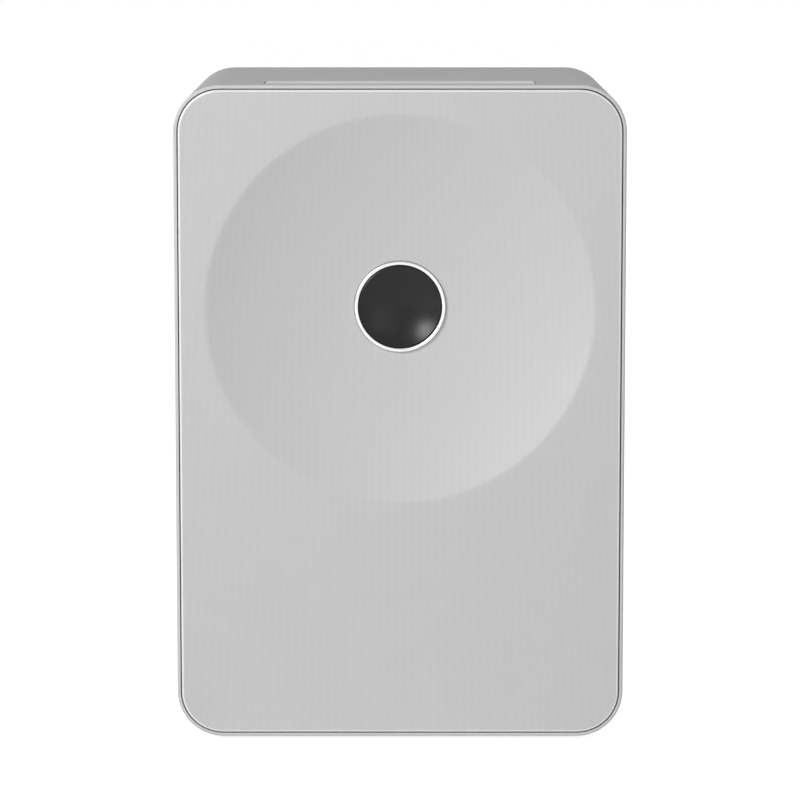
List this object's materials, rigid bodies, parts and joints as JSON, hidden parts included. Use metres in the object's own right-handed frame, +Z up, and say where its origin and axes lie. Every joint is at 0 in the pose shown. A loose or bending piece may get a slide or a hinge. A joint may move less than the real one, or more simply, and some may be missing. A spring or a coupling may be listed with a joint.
{
  "type": "wireless speaker",
  "caption": "Upright shelf speaker: a rounded box with a full-height fine mesh grille, a shallow round dish in it and a dark turn-and-push dial at the dish's centre.",
  "frame": {"origin": "middle of the base, on the surface the feet stand on", "axes": "+Z up; the grille faces -Y; +X is to the right of someone looking at the grille"},
  "size_m": [0.17, 0.142, 0.25],
  "materials": {
    "cabinet_silver": "satin silver paint on moulded plastic",
    "grille_silver": "finely perforated, bead-blasted and clear-anodised",
    "chrome_trim": "polished",
    "dial_black": "satin black, hollowed face",
    "touch_grey": "light satin lens",
    "inner_black": "fine moulded grain",
    "port_black": "fine moulded grain",
    "rear_grey": "fine moulded grain",
    "rubber_black": "matt",
    "cone_paper": "pressed paper",
    "dome_silk": "coated cloth",
    "spider_cloth": "resin-dipped cloth",
    "painted_steel": "black paint",
    "zinc_steel": "zinc plate",
    "screw_black": "black oxide",
    "ferrite": "ground ferrite",
    "copper_wire": "lacquered winding",
    "board_green": "solder mask",
    "sink_aluminium": "as extruded",
    "can_black": "sleeved can",
    "core_yellow": "taped winding on a ferrite core",
    "shield_tin": "tin plate"
  },
  "bodies": {
    "cabinet": {"baffle_screws": "screw_black", "board_screws": "screw_black", "bridge_screws": "screw_black", "cabinet_shell": "cabinet_silver", "capacitor_lower": "can_black", "capacitor_upper": "can_black", "dial_bridge": "inner_black", "encoder_body": "inner_black", "foot_front_left": "rubber_black", "foot_front_right": "rubber_black", "foot_rear_left": "rubber_black", "foot_rear_right": "rubber_black", "front_baffle": "inner_black", "front_grille": "grille_silver", "grille_frame": "inner_black", "heat_sink": "sink_aluminium", "inlet_contact_left": "zinc_steel", "inlet_contact_right": "zinc_steel", "line_in_jack": "inner_black", "main_board": "board_green", "mains_inlet": "inner_black", "plate_screws": "screw_black", "port_tube": "port_black", "radio_module": "shield_tin", "rear_plate": "rear_grey", "setup_switch": "inner_black", "touch_board": "board_green", "touch_panel": "touch_grey", "transformer": "core_yellow", "tweeter_dome": "dome_silk", "tweeter_motor": "painted_steel", "tweeter_plate": "inner_black", "tweeter_screws": "screw_black", "woofer_back_plate": "painted_steel", "woofer_basket": "painted_steel", "woofer_gasket": "rubber_black", "woofer_magnet": "ferrite", "woofer_screws": "screw_black", "woofer_spider": "spider_cloth", "woofer_surround": "rubber_black", "woofer_top_plate": "zinc_steel"},
    "dial_plunger": {"push_plunger": "inner_black"},
    "dial": {"dial_shaft": "zinc_steel", "dial_knob": "inner_black", "dial_face": "dial_black", "dial_bezel": "chrome_trim"},
    "cone": {"woofer_cone": "cone_paper", "dust_cap": "cone_paper", "voice_coil_former": "inner_black", "voice_coil_winding": "copper_wire"},
    "setup_button": {"setup_button": "inner_black"}
  },
  "joints": [
    {"name": "dial_push", "type": "slide", "parent": "cabinet", "child": "dial_plunger", "axis": [0, 1, 0], "range_m": [0, 0.0005], "stiffness_N_per_m": 2000},
    {"name": "dial_turn", "type": "hinge", "parent": "dial_plunger", "child": "dial", "pos_m": [0, -0.055, 0.1656], "axis": [0, -1, 0], "continuous": true},
    {"name": "cone_travel", "type": "slide", "parent": "cabinet", "child": "cone", "axis": [0, -1, 0], "range_m": [-0.003, 0.003], "stiffness_N_per_m": 1200, "deforming": ["woofer_surround", "woofer_spider"]},
    {"name": "setup_button_push", "type": "slide", "parent": "cabinet", "child": "setup_button", "axis": [0, -1, 0], "range_m": [0, 0.0005], "stiffness_N_per_m": 2000}
  ]
}
